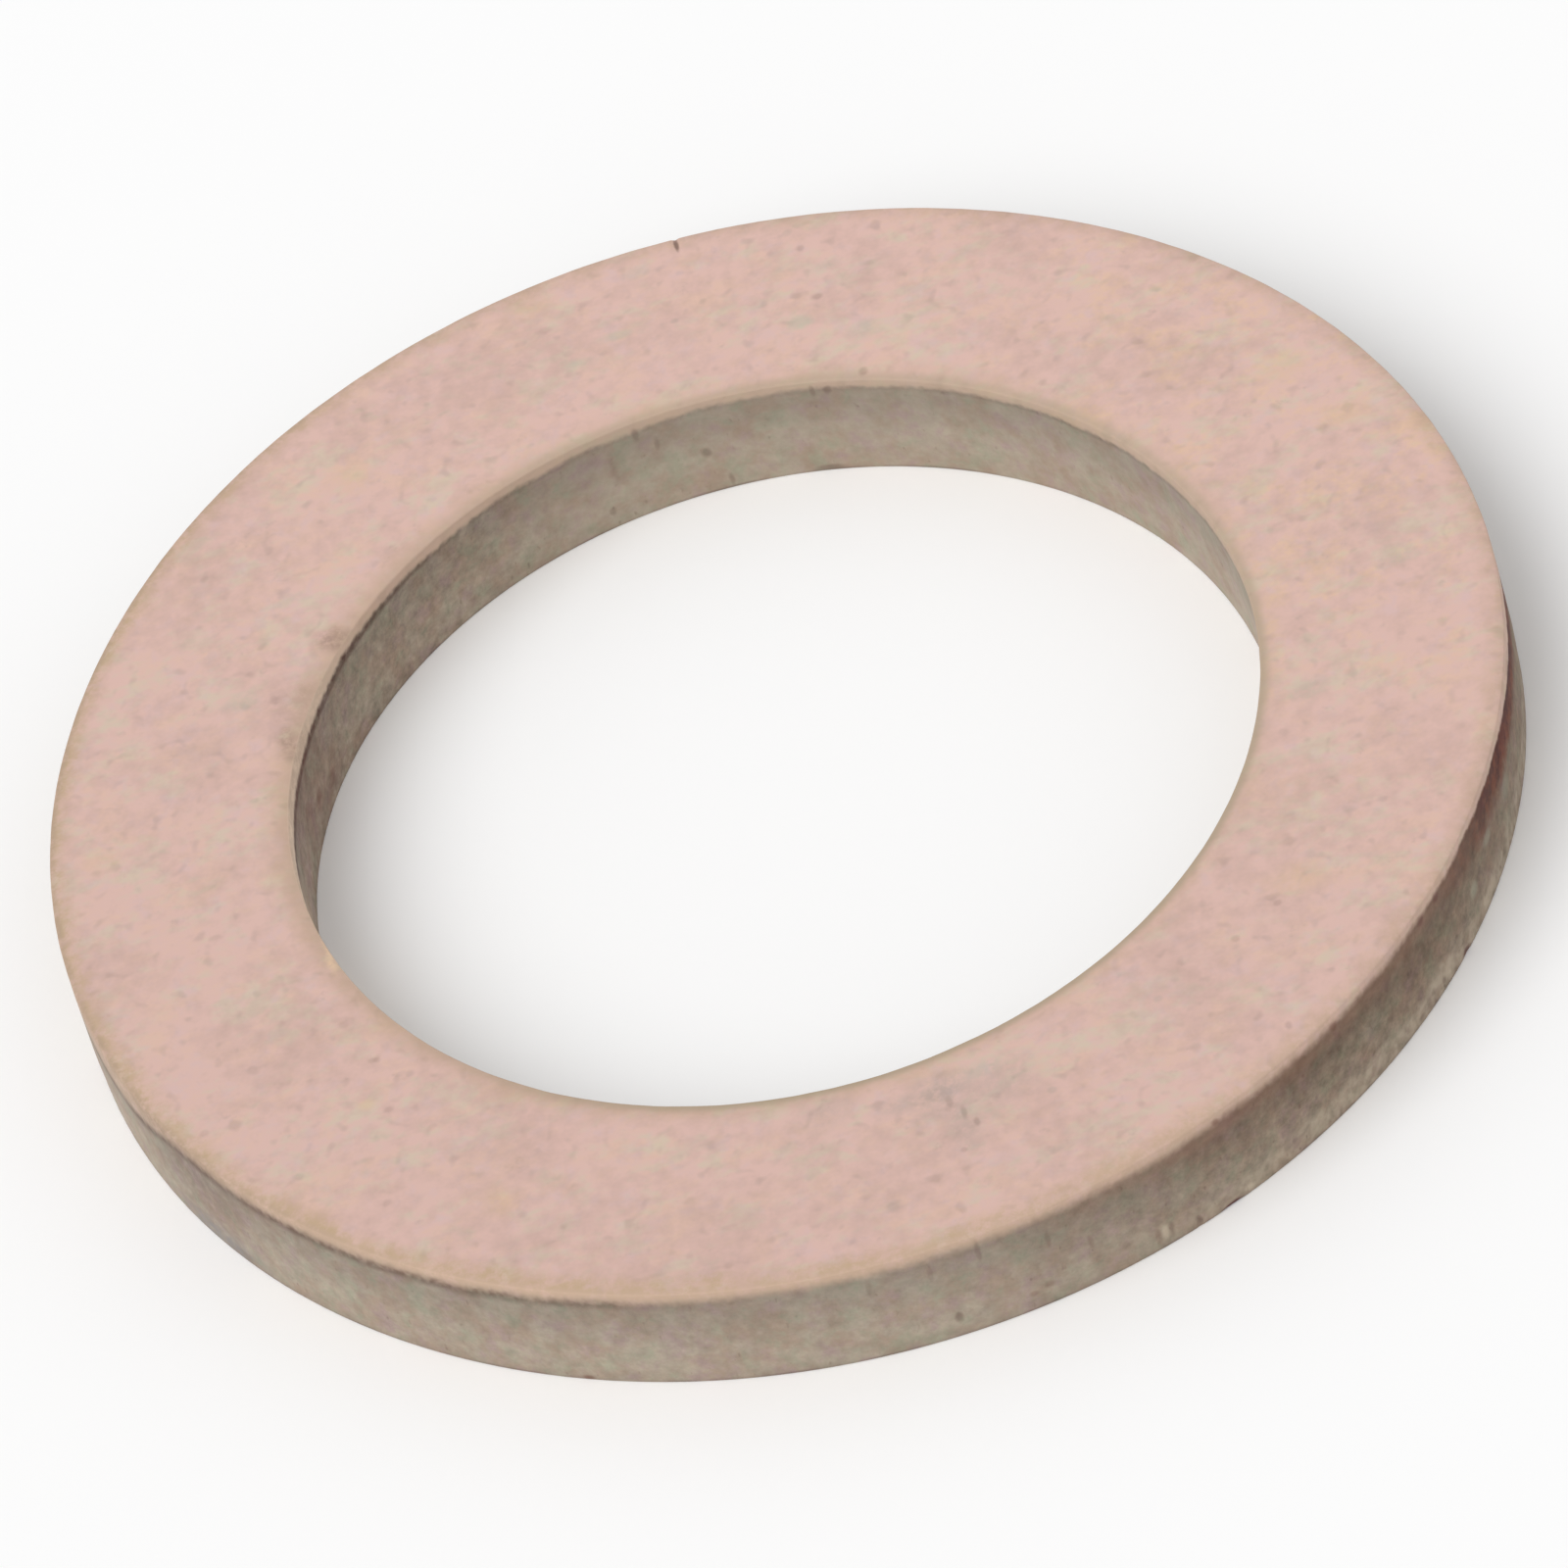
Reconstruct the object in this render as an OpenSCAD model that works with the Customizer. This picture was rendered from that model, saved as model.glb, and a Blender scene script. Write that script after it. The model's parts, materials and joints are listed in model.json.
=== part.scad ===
// Flat copper sealing ring, blanked from sheet in one stroke and then tumbled.
// The ring lies on its lower face. The origin is the centre of that face, +Z is the ring's axis.
// All sizes are in millimetres.

/* [Ring] */
// Outside diameter
outer_d = 18; // [15:0.1:40]
// Bore diameter, which passes an M12 thread
bore_d = 12; // [4:0.1:13]
// Thickness, from sealing face to sealing face
thickness = 1.6; // [1.2:0.05:4]

/* [Die rolls on the upper face] */
// Width of the roll along the outside edge
outer_roll_w = 0.24; // [0.16:0.02:0.4]
// Radius of the outside roll's shallow arc
outer_roll_r = 1.1; // [0.6:0.05:2]
// Width of the roll along the bore's edge
bore_roll_w = 0.3; // [0.16:0.02:0.4]
// Radius of the bore roll's shallow arc
bore_roll_r = 1.5; // [0.6:0.05:2]
// Radius of the nose where a roll turns into its wall
nose_r = 0.03; // [0.02:0.01:0.1]

/* [Fracture bands on the cut walls] */
// Height of the band on the outside wall, up from the lower face
outer_band_h = 0.45; // [0.2:0.05:0.55]
// Height of the band in the bore, up from the lower face
bore_band_h = 0.4; // [0.2:0.05:0.55]
// How far the die's clearance draws a band back at the lower face
band_setback = 0.015; // [0.01:0.005:0.08]
// Radius tumbled onto the lower edges
lower_edge_r = 0.025; // [0.015:0.005:0.08]

/* [Hidden] */
// Steps round the ring, and round each arc of its section
$fn = 240;
arc_fn = 96;
outer_r = outer_d / 2;
bore_r = bore_d / 2;
half_face = (outer_r - bore_r) / 2;
half_t = thickness / 2;
copper = [0.84, 0.72, 0.67];

// The section's outline beside a cut wall has the wall at x = 0 and the metal at x below 0.

// Upper quarter, with the upper face at y = 0: the face, its die roll, the nose and the wall
module rolled_quarter(roll_w, roll_r) {
    roll_centre = [-roll_w, -roll_r];
    nose = roll_centre + [roll_w - nose_r, sqrt(pow(roll_r - nose_r, 2) - pow(roll_w - nose_r, 2))];

    polygon([[-half_face, 0], [-half_face, -half_t], [0, -half_t], [0, nose.y], nose, [-roll_w, 0]]);
    // The roll's arc starts level with the face and touches the nose
    intersection() {
        translate(roll_centre) circle(r = roll_r, $fn = arc_fn);
        polygon([roll_centre, roll_centre + 2 * (nose - roll_centre), roll_centre + [0, 2 * roll_r]]);
    }
    translate(nose) circle(r = nose_r, $fn = arc_fn);
}

// Lower quarter, with the lower face at y = 0: the wall, its fracture band and the tumbled edge
module fractured_quarter(band_h) {
    band_l = norm([band_setback, band_h]);
    edge = [-band_setback - lower_edge_r * (band_l - band_setback) / band_h, lower_edge_r];
    band_end = edge + lower_edge_r * [band_h, -band_setback] / band_l;

    polygon([[-half_face, half_t], [-half_face, 0], [edge.x, 0], edge, band_end, [0, band_h], [0, half_t]]);
    translate(edge) circle(r = lower_edge_r, $fn = arc_fn);
}

module cut_side(roll_w, roll_r, band_h) {
    translate([0, thickness]) rolled_quarter(roll_w, roll_r);
    fractured_quarter(band_h);
}

module sealing_ring() {
    color(copper)
    rotate_extrude() {
        translate([outer_r, 0]) cut_side(outer_roll_w, outer_roll_r, outer_band_h);
        translate([bore_r, 0]) mirror([1, 0]) cut_side(bore_roll_w, bore_roll_r, bore_band_h);
    }
}

sealing_ring();
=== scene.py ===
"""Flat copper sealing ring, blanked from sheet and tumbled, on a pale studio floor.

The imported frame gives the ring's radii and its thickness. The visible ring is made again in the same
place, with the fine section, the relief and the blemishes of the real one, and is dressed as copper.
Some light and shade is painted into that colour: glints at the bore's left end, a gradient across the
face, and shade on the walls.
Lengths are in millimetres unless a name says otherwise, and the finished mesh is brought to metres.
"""
import json
import logging
import math
from dataclasses import dataclass, fields
from enum import Enum
from functools import cache, cached_property
from typing import Any

import bpy
from mathutils import Color, Matrix, Vector


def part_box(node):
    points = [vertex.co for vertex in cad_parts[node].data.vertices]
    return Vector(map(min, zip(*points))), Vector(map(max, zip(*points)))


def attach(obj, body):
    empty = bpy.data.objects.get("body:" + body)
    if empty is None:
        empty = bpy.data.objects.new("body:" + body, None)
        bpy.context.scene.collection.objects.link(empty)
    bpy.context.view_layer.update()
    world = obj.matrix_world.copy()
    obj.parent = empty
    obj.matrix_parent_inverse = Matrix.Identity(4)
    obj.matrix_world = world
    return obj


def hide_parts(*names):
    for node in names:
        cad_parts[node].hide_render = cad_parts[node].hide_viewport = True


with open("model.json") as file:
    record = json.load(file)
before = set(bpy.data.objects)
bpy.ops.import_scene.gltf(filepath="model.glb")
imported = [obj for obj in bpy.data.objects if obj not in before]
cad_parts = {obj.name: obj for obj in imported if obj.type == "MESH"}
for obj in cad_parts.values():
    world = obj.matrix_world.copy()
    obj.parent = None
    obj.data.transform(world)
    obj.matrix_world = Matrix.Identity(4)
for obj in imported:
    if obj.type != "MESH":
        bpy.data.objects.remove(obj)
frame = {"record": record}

LOG = logging.getLogger("sealing_ring")
NODE = "sealing_ring"
METRES_PER_MM = 0.001
LEVEL_PLANE = (1.0, 1.0, 0.0)
NOISE_MEAN = 0.5
SEED_STEPS = (1.0, 2.0, 3.0)
Rgb = tuple[int, int, int]
Triple = tuple[float, float, float]


def linear(rgb: Rgb) -> tuple[float, ...]:
    """Turns a colour as it is seen, from 0 to 255, into the numbers that a shader takes."""
    return *Color([part / 255 for part in rgb]).from_srgb_to_scene_linear(), 1.0


def placed(name: str, data: bpy.types.ID) -> bpy.types.Object:
    """Makes an object of its data in the scene."""
    made = bpy.data.objects.new(name, data)
    bpy.context.scene.collection.objects.link(made)
    return made


@dataclass(frozen=True)
class Fade:
    """A smooth step from low at start to high at end, where start may be above end."""

    start: float
    end: float
    low: float = 0.0
    high: float = 1.0


@dataclass(frozen=True)
class Mottle:
    """Even noise with patches of one size in millimetres, stretched along each axis."""

    patch: float
    seed: float = 0.0
    detail: float = 2.0
    roughness: float = 0.5
    stretch: Triple = (1.0, 1.0, 1.0)


@dataclass(frozen=True)
class Sector:
    """A part of the ring in degrees: its middle, and how far off it is faded out or whole."""

    middle: float
    faded: float
    whole: float


@dataclass(frozen=True)
class Varied:
    """A number that changes round the ring: its base, and what it gains in some sectors."""

    base: float
    gains: tuple[tuple[float, Sector], ...] = ()


def varied(base: float, *gains: tuple[float, ...]) -> Varied:
    """Makes a Varied of its base and of rows of gain, middle, faded and whole."""
    return Varied(base, tuple((gain, Sector(*sector)) for gain, *sector in gains))


class Sock:
    """A node's output, on which Python's operators add Math and Vector Math nodes."""

    def __init__(self, graph: "Graph", socket: bpy.types.NodeSocket) -> None:
        """Wraps one output of a graph."""
        self.graph = graph
        self.socket = socket

    def __add__(self, other: "Term") -> "Sock":
        """self + other"""
        return self.graph.combine("ADD", self, other)

    def __radd__(self, other: "Term") -> "Sock":
        """other + self"""
        return self.graph.combine("ADD", other, self)

    def __sub__(self, other: "Term") -> "Sock":
        """self - other"""
        return self.graph.combine("SUBTRACT", self, other)

    def __rsub__(self, other: "Term") -> "Sock":
        """other - self"""
        return self.graph.combine("SUBTRACT", other, self)

    def __mul__(self, other: "Term") -> "Sock":
        """self * other"""
        return self.graph.combine("MULTIPLY", self, other)

    def __rmul__(self, other: "Term") -> "Sock":
        """other * self"""
        return self.graph.combine("MULTIPLY", other, self)

    def __truediv__(self, other: "Term") -> "Sock":
        """self / other"""
        return self.graph.combine("DIVIDE", self, other)

    def __neg__(self) -> "Sock":
        """-self"""
        return self.graph.combine("MULTIPLY", self, -1.0)


Term = Sock | float | Triple


class Graph:
    """A node tree that is written as expressions."""

    def __init__(self, tree: bpy.types.NodeTree) -> None:
        """Takes the tree to add nodes to."""
        self.tree = tree

    def add(self, kind: str, sockets: dict[str | int, Any] | None = None, out: str | int = 0,
            **settings: Any) -> Sock:
        """Adds any node.

        Args:
            kind: The node's type.
            sockets: A value, a Sock or a list of Socks for each input, by name or by place.
            out: The output to hand back.
            settings: The node's own properties, set before its sockets.

        Returns:
            The chosen output.
        """
        node = self.tree.nodes.new(kind)
        for name, value in settings.items():
            setattr(node, name, value)
        for key, value in (sockets or {}).items():
            for part in value if isinstance(value, list) else [value]:
                if isinstance(part, Sock):
                    self.tree.links.new(part.socket, node.inputs[key])
                else:
                    node.inputs[key].default_value = part
        return Sock(self, node.outputs[out])

    def finish(self, kind: str, socket: str, result: Sock) -> None:
        """Adds the tree's output node and hands it a result."""
        node = self.tree.nodes.new(kind)
        self.tree.links.new(result.socket, node.inputs[socket])

    def combine(self, operation: str, first: Term, second: Term) -> Sock:
        """Joins two terms by one operation, on vectors if either is one."""
        terms = (first, second)
        kinds = [term.socket.type if isinstance(term, Sock) else type(term) for term in terms]
        if tuple in kinds or "VECTOR" in kinds:
            wide = [(term,) * 3 if isinstance(term, (int, float)) else term for term in terms]
            return self.add("ShaderNodeVectorMath", dict(enumerate(wide)), operation=operation)
        return self.math(operation, first, second)

    def math(self, operation: str, *terms: Term) -> Sock:
        """Applies a Math node's operation to numbers."""
        return self.add("ShaderNodeMath", dict(enumerate(terms)), operation=operation)

    def least(self, first: Term, second: Term) -> Sock:
        """The smaller of two numbers."""
        return self.math("MINIMUM", first, second)

    def most(self, first: Term, second: Term) -> Sock:
        """The larger of two numbers."""
        return self.math("MAXIMUM", first, second)

    def length(self, vector: Sock) -> Sock:
        """The length of a vector."""
        return self.add("ShaderNodeVectorMath", {0: vector}, "Value", operation="LENGTH")

    def dot(self, vector: Sock, axis: Triple) -> Sock:
        """The dot product of a vector with a fixed one."""
        return self.add("ShaderNodeVectorMath", {0: vector, 1: axis}, "Value", operation="DOT_PRODUCT")

    def axes(self, vector: Sock) -> tuple[Sock, Sock, Sock]:
        """The X, Y and Z of a vector."""
        first = self.add("ShaderNodeSeparateXYZ", {0: vector})
        outputs = first.socket.node.outputs
        return first, Sock(self, outputs[1]), Sock(self, outputs[2])

    def vector(self, x: Term, y: Term, z: Term = 0.0) -> Sock:
        """A vector of three numbers."""
        return self.add("ShaderNodeCombineXYZ", {0: x, 1: y, 2: z})

    def ramp(self, value: Sock, start: Term, end: Term, low: Term = 0.0, high: Term = 1.0) -> Sock:
        """A smooth step from low at start to high at end."""
        limits = {"Value": value, "From Min": start, "From Max": end, "To Min": low, "To Max": high}
        return self.add("ShaderNodeMapRange", limits, interpolation_type="SMOOTHSTEP")

    def fade(self, value: Sock, fade: Fade) -> Sock:
        """A smooth step with fixed limits."""
        return self.ramp(value, fade.start, fade.end, fade.low, fade.high)

    def noise(self, place: Sock, mottle: Mottle) -> Sock:
        """Noise about 0, mostly between -0.5 and 0.5, at a position in millimetres."""
        scale = tuple(1.0 / (mottle.patch * times) for times in mottle.stretch)
        shifted = place * scale + tuple(mottle.seed * step for step in SEED_STEPS)
        sockets = {"Vector": shifted, "Scale": 1.0, "Detail": mottle.detail, "Roughness": mottle.roughness}
        return self.add("ShaderNodeTexNoise", sockets, noise_dimensions="3D") - NOISE_MEAN

    def tint(self, base: Term, colour: Term, amount: Term, blend: str = "MIX") -> Sock:
        """Blends a colour over a base by an amount."""
        sockets = {0: amount, 6: base, 7: colour}
        return self.add("ShaderNodeMix", sockets, 2, data_type="RGBA", blend_type=blend, clamp_factor=True)

    def shade(self, colour: Sock, level: Sock) -> Sock:
        """Makes a colour lighter or darker by a factor."""
        return self.tint(colour, self.vector(level, level, level), 1.0, "MULTIPLY")

    def line(self, start: tuple[Term, Term], end: tuple[Term, Term], steps: int) -> Sock:
        """A straight strand in a number of steps."""
        ends = {"Start": self.vector(*start), "End": self.vector(*end)}
        strand = self.add("GeometryNodeCurvePrimitiveLine", ends, mode="POINTS")
        sampling = {"Curve": strand, "Count": steps + 1}
        return self.add("GeometryNodeResampleCurve", sampling, mode="COUNT")

    def arc(self, centre: tuple[Term, Term], radius: Sock, start: Term, end: Term, steps: int) -> Sock:
        """A round strand in a number of steps."""
        sweep = self.math("SUBTRACT", end, start)
        bend = {"Resolution": steps + 1, "Radius": radius, "Start Angle": start, "Sweep Angle": sweep}
        strand = self.add("GeometryNodeCurveArc", bend, mode="RADIUS")
        placing = {"Geometry": strand, "Translation": self.vector(*centre)}
        return self.add("GeometryNodeTransform", placing)


class Zone(Enum):
    """The surface that a mark lies on."""

    FACE = "upper face"
    OUTER = "outside wall"
    BORE = "bore wall"


class Stain(Enum):
    """What a mark leaves on the copper, with the colour that it turns the metal to, save the pale glint,
    which is painted light.
    """

    DIRT = (112, 88, 78)
    SMUT = (150, 146, 136)
    VERDIGRIS = (176, 180, 158)
    TARNISH = (214, 184, 148)
    OXIDE = (104, 52, 38)
    CLARET = (84, 22, 34)
    BARE = (214, 200, 178)
    SLATE = (146, 142, 142)
    RUSSET = (104, 46, 32)
    # A painted glint, not a stain: pale copper where the bore's left end catches the light.
    BRIGHT = (240, 208, 172)


BROAD_MARK = 0.2
FACE_MARK_REACH = 0.3
BROAD_RIM = Fade(1.5, 0.1)
SPECK_RIM = Fade(1.3, 0.4)


@dataclass(frozen=True)
class Mark:
    """A blemish or a painted glint, by its angle round the ring and its place: the radius on the face, the
    height on a wall.

    Its size is half its extent: along X and Y on the face, round and up on a wall.
    """

    zone: Zone
    angle: float
    place: float
    size: tuple[float, float]
    stain: Stain
    strength: float
    depth: float = 0.0

    @property
    def is_broad(self) -> bool:
        """Whether the mark is a soft, broken patch rather than a speck."""
        return max(self.size) > BROAD_MARK

    def centre(self, ring: "Section") -> Triple:
        """Where the mark's middle lies."""
        radii = {Zone.FACE: self.place, Zone.OUTER: ring.outer_radius, Zone.BORE: ring.bore_radius}
        radius = radii[self.zone]
        height = ring.thickness if self.zone is Zone.FACE else self.place
        turn = math.radians(self.angle)
        return radius * math.cos(turn), radius * math.sin(turn), height

    def reach(self) -> Triple:
        """Half the mark's extent along X, Y and Z."""
        wide, tall = self.size
        return (wide, tall, FACE_MARK_REACH) if self.zone is Zone.FACE else (wide, wide, tall)

    def cover(self, graph: Graph, place: Sock, ring: "Section", high: float) -> Sock:
        """How strongly the mark covers a place, from 0 outside it to high at its middle."""
        scale = tuple(1.0 / half for half in self.reach())
        shift = tuple(-along * times for along, times in zip(self.centre(ring), scale))
        terms = {0: place, 1: scale, 2: shift}
        away = graph.length(graph.add("ShaderNodeVectorMath", terms, operation="MULTIPLY_ADD"))
        rim = BROAD_RIM if self.is_broad else SPECK_RIM
        return graph.ramp(away, rim.start, rim.end, rim.low, high)


def marks(zone: Zone, rows: dict[Stain, tuple[tuple[float, ...], ...]]) -> tuple[Mark, ...]:
    """Makes a zone's marks from rows of angle, place, half the extents, strength and any depth."""
    return tuple(Mark(zone, angle, place, (wide, tall), stain, strength, *depth)
                 for stain, table in rows.items()
                 for angle, place, wide, tall, strength, *depth in table)


@dataclass(frozen=True)
class Section:
    """The ring's section, in millimetres. Each name is an input of the ring's node tree."""

    outer_radius: float
    bore_radius: float
    thickness: float
    outer_roll_width: float = 0.24
    outer_roll_radius: float = 1.1
    bore_roll_width: float = 0.3
    bore_roll_radius: float = 1.5
    nose_radius: float = 0.03
    outer_band_height: float = 0.45
    bore_band_height: float = 0.4
    band_setback: float = 0.015
    lower_edge_radius: float = 0.025

    @classmethod
    def from_frame(cls) -> "Section":
        """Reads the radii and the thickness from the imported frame."""
        low, high = (Vector(corner) / METRES_PER_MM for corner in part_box(NODE))
        bore = next(mount for mount in frame["record"]["mounts"] if mount["name"] == "bore")
        return cls(outer_radius=high.x, bore_radius=bore["dims"]["r_mm"], thickness=high.z - low.z)


FACE_MARKS = marks(Zone.FACE, {
    Stain.DIRT: (
        (85.8, 8.87, 0.035, 0.15, 0.75, 0.03), (75.4, 8.37, 0.055, 0.06, 0.22),
        (78, 8.35, 0.06, 0.05, 0.1), (73.5, 7.48, 0.08, 0.06, 0.26), (67, 6.13, 0.07, 0.07, 0.26),
        (98.8, 8.12, 0.12, 0.07, 0.12), (184.6, 7.16, 0.09, 0.05, 0.12), (203.9, 6.49, 0.07, 0.07, 0.14),
        (210.7, 6.57, 0.05, 0.05, 0.18), (215.1, 6.49, 0.06, 0.06, 0.14), (216.6, 7.06, 0.07, 0.06, 0.18),
        (205.1, 8.69, 0.07, 0.06, 0.14), (223.6, 8.25, 0.06, 0.06, 0.16), (276.2, 6.84, 0.045, 0.1, 0.24),
        (277, 7.08, 0.04, 0.11, 0.28), (277.7, 7.3, 0.04, 0.08, 0.3), (275.5, 7.66, 0.05, 0.05, 0.2),
        (309, 7.22, 0.06, 0.06, 0.22), (314.5, 7.35, 0.06, 0.05, 0.2), (303.7, 8.68, 0.05, 0.07, 0.22),
        (152, 6.2, 0.5, 0.5, 0.18), (141.5, 6.14, 0.24, 0.2, 0.45), (158, 6.12, 0.14, 0.32, 0.4),
    ),
    Stain.SMUT: (
        (76.6, 8.68, 0.07, 0.06, 0.18), (87.4, 7.51, 0.06, 0.05, 0.2), (215, 8.45, 0.08, 0.06, 0.26),
        (272.3, 6.63, 0.42, 0.2, 0.3), (276.6, 6.46, 0.34, 0.18, 0.28), (274.2, 6.93, 0.26, 0.16, 0.24),
        (285.2, 7.37, 0.06, 0.06, 0.24), (282.3, 8.24, 0.22, 0.07, 0.26), (268.2, 8.17, 0.09, 0.1, 0.24),
        (299.2, 7.08, 0.07, 0.06, 0.22), (264, 6.42, 0.4, 0.28, 0.22), (276, 6.62, 0.46, 0.3, 0.45),
        (281, 6.9, 0.6, 0.4, 0.24), (276.5, 7.2, 0.24, 0.5, 0.32),
    ),
    Stain.VERDIGRIS: (
        (74.9, 7.06, 0.17, 0.12, 0.42), (92.9, 7.56, 0.2, 0.09, 0.36), (97.7, 7.32, 0.22, 0.1, 0.34),
        (68.1, 6.83, 0.22, 0.16, 0.36), (73.2, 8.01, 0.24, 0.09, 0.28), (89.5, 8.55, 0.2, 0.12, 0.2),
        (280.7, 6.55, 0.3, 0.14, 0.34), (152, 6.9, 0.24, 0.16, 0.4), (358.5, 7.9, 0.22, 0.14, 0.4),
        (343, 6.62, 0.28, 0.16, 0.36),
    ),
    Stain.TARNISH: (
        (98.7, 8.58, 0.34, 0.2, 0.4), (214.2, 7.15, 0.12, 0.1, 0.4), (171.4, 8.33, 0.3, 0.22, 0.36),
        (17, 8.26, 0.34, 0.22, 0.45), (25.6, 8.1, 0.3, 0.26, 0.4), (233, 7.78, 0.24, 0.26, 0.4),
        (318, 7.37, 0.34, 0.26, 0.4), (122, 7.66, 0.3, 0.3, 0.36),
    ),
    # A painted glint on the face's edge at the bore's left end, where the roll catches the light.
    Stain.BRIGHT: ((193.5, 6.03, 0.07, 0.32, 0.6),),
})
WALL_MARKS = marks(Zone.OUTER, {
    Stain.DIRT: (
        (270.7, 0.33, 0.06, 0.1, 0.55, 0.02), (273.4, 1.32, 0.04, 0.2, 0.35),
        (278.7, 1.06, 0.04, 0.14, 0.4), (269.5, 1.2, 0.04, 0.16, 0.25), (264.8, 1.22, 0.04, 0.15, 0.25),
        (288.2, 0.23, 0.045, 0.15, 0.55, 0.02), (290.5, 0.1, 0.05, 0.1, 0.65, 0.02),
        (293.7, 1.16, 0.08, 0.08, 0.35), (315.5, 0.09, 0.06, 0.07, 0.4), (319.1, 0.16, 0.05, 0.06, 0.4),
        (313.8, 0.5, 0.08, 0.07, 0.35), (300.2, 1.11, 0.04, 0.16, 0.4), (305.5, 0.72, 0.06, 0.1, 0.3),
        (209, 0.12, 0.18, 0.1, 0.35), (205, 0.95, 1.2, 0.8, 0.36), (322, 0.95, 0.1, 0.08, 0.4),
        (333, 1, 0.07, 0.07, 0.45),
    ),
    Stain.OXIDE: (
        (281.8, 0.7, 0.04, 0.12, 0.22), (277.9, 0.34, 0.07, 0.06, 0.28), (276.6, 0.28, 0.06, 0.05, 0.26),
        (287, 0.22, 0.045, 0.15, 0.45, 0.02), (293.9, 1.43, 0.06, 0.06, 0.35),
        (306.2, 1.4, 0.08, 0.07, 0.35), (241.5, 0.04, 0.08, 0.05, 0.5),
    ),
    Stain.BARE: (
        (287.6, 0.24, 0.05, 0.14, 0.4), (295.3, 0.1, 0.1, 0.06, 0.4), (320.2, 0.22, 0.16, 0.14, 0.35),
        (328.1, 0.16, 0.2, 0.1, 0.3),
    ),
    Stain.CLARET: (
        (293.5, 0.0, 0.16, 0.07, 0.95, 0.01), (318, 1.38, 0.08, 0.08, 0.35),
        (320.6, 1.38, 0.08, 0.08, 0.45), (323, 0.04, 0.1, 0.07, 0.65, 0.01), (345, 1.36, 0.3, 0.12, 0.35),
        (331, 1.34, 0.22, 0.12, 0.35),
    ),
    Stain.SLATE: ((206, 0.14, 0.9, 0.25, 0.8),),
    Stain.RUSSET: ((338, 1.3, 0.26, 0.16, 0.6),),
    Stain.VERDIGRIS: (
        (326, 0.62, 0.12, 0.12, 0.35), (330, 0.85, 0.16, 0.1, 0.3), (336, 0.75, 0.2, 0.16, 0.25),
        (310, 0.8, 0.24, 0.16, 0.2),
    ),
}) + marks(Zone.BORE, {
    Stain.DIRT: (
        (71.5, 1.42, 0.06, 0.07, 0.45, 0.015), (73.4, 1.42, 0.04, 0.1, 0.35),
        (87.6, 0.7, 0.07, 0.08, 0.45, 0.015), (92.9, 1.11, 0.04, 0.12, 0.32),
        (95.1, 1.36, 0.05, 0.12, 0.36), (98.7, 1, 0.05, 0.28, 0.26), (85.6, 0.16, 0.04, 0.12, 0.42),
        (100.3, 0.3, 0.05, 0.07, 0.34), (73.8, 0.06, 0.2, 0.05, 0.45),
    ),
    Stain.RUSSET: ((160, 0.9, 1, 1, 0.26),),
    Stain.OXIDE: ((152, 0.3, 0.22, 0.2, 0.4), (157, 0.55, 0.12, 0.1, 0.35)),
    # A painted glint on the bore wall's left end, which mirrors the light at a grazing angle.
    Stain.BRIGHT: ((187, 0.9, 1, 0.9, 0.4),),
})


@dataclass(frozen=True)
class Seam:
    """The ragged seam between the face's colour and the wall's, by its depth below the edge."""

    bore: Varied = varied(0.17, (-0.03, 66, 28, 8), (0.09, 175, 34, 12))
    outer: Varied = varied(0.15, (0.02, 300, 30, 8), (0.1, 358, 24, 10), (0.3, 190, 14, 3))
    bore_blur: float = 0.05
    outer_blur: Varied = varied(0.1, (-0.055, 350, 45, 18))
    beads: Mottle = Mottle(0.1, seed=8)
    drift: Mottle = Mottle(0.7, seed=18)
    raggedness: float = 0.08
    foot: Fade = Fade(-0.06, 0)
    edge: Fade = Fade(0, 0.04)


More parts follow.
